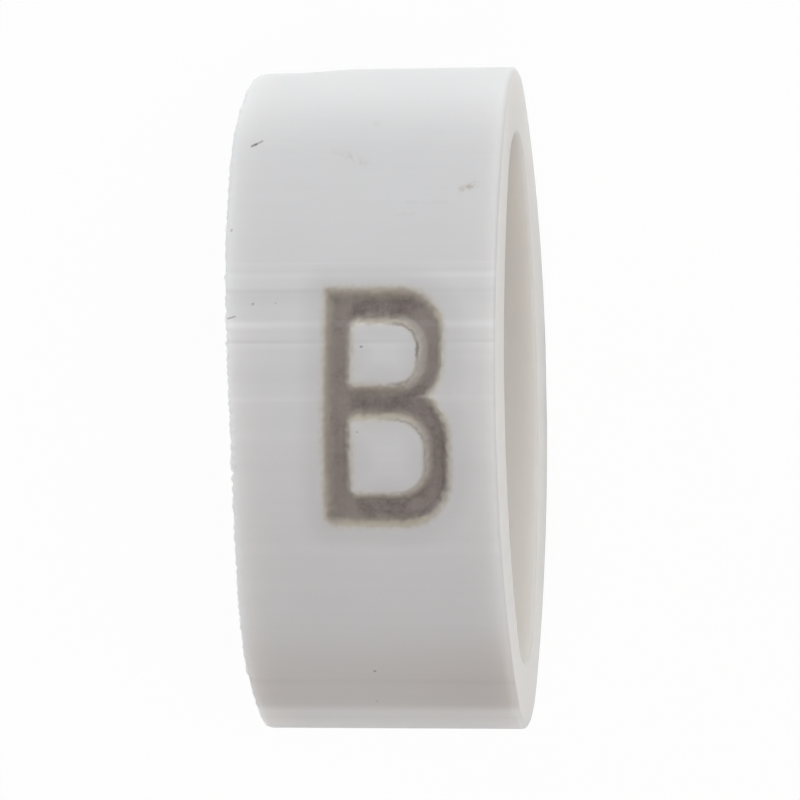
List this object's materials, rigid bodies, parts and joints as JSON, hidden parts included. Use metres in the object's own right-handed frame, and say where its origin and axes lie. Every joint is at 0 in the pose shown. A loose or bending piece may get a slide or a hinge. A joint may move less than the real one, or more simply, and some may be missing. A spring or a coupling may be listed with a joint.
{
  "type": "cable marker",
  "caption": "Oval slide-on cable marker: a short closed band of soft white PVC with a smooth oval bore and one printed letter on its broad face.",
  "frame": {"origin": "middle of the oval bore, which is the middle of the band's box", "axes": "+X along the cable, in reading direction; +Y along the oval's long axis, up the printed letter; +Z out of the printed face, up when the band lies on its back"},
  "size_m": [0.0032, 0.0074, 0.0038],
  "materials": {
    "white_pvc": "soft semi-matt extruded PVC, slightly translucent"
  },
  "bodies": {
    "root": {"marker_band": "white_pvc"}
  },
  "joints": []
}
